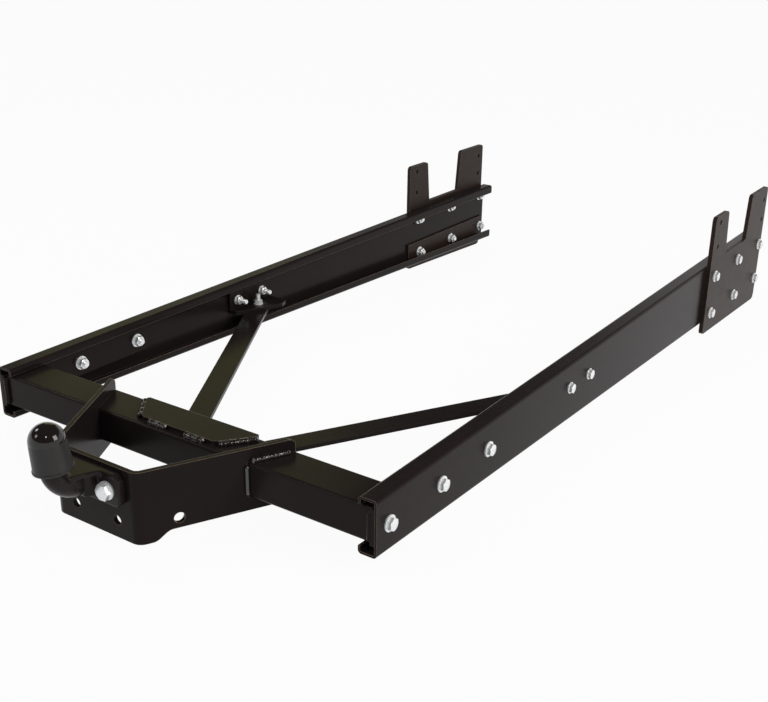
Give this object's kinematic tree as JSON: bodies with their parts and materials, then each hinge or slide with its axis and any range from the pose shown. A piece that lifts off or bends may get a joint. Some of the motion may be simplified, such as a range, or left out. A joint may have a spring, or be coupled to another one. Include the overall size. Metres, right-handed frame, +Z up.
{
  "type": "trailer hitch",
  "caption": "Bolt-on trailer hitch frame: tapered channel rails, cross tube, bent tow bracket with flange ball and cap, brace bars and pronged side plates.",
  "frame": {"origin": "centre of the coupling ball", "axes": "+Y from the ball towards the vehicle, +Z up, +X to the right side plate"},
  "size_m": [0.87, 2.001, 0.302],
  "materials": {
    "powder_coat": "satin black powder coat",
    "forging": "satin black paint on a forging",
    "cap": "black moulded plastic, polished dome",
    "zinc": "bright zinc plating",
    "weld": "gloss black coat over weld beads"
  },
  "bodies": {
    "hitch": {"rail_left": "powder_coat", "rail_right": "powder_coat", "cross_tube": "powder_coat", "end_plate_left": "powder_coat", "end_plate_right": "powder_coat", "tow_bracket": "powder_coat", "tube_doubler": "powder_coat", "brace_left": "powder_coat", "brace_right": "powder_coat", "brace_bracket_left": "powder_coat", "brace_bracket_right": "powder_coat", "side_plate_left": "powder_coat", "side_plate_right": "powder_coat", "inner_bar_left": "powder_coat", "inner_bar_right": "powder_coat", "tow_ball": "forging", "ball_bolts": "zinc", "ball_washers": "zinc", "ball_nuts": "zinc", "rail_bolts_left": "zinc", "rail_bolts_right": "zinc", "rail_washers_left": "zinc", "rail_washers_right": "zinc", "rail_nuts_left": "zinc", "rail_nuts_right": "zinc", "bracket_bolts": "zinc", "bracket_washers": "zinc", "bracket_nuts": "zinc", "pivot_bolts": "zinc", "pivot_washers": "zinc", "pivot_nuts": "zinc", "plate_bolts_left": "zinc", "plate_bolts_right": "zinc", "plate_washers_left": "zinc", "plate_washers_right": "zinc", "plate_nuts_left": "zinc", "plate_nuts_right": "zinc", "tube_end_welds": "weld", "bracket_welds": "weld", "doubler_welds": "weld", "brace_welds": "weld"},
    "cap": {"ball_cap": "cap"}
  },
  "joints": [
    {"name": "cap_lift", "type": "slide", "parent": "hitch", "child": "cap", "axis": [-0.0856, -0.06, 0.9945], "range_m": [0, 0.1]}
  ]
}
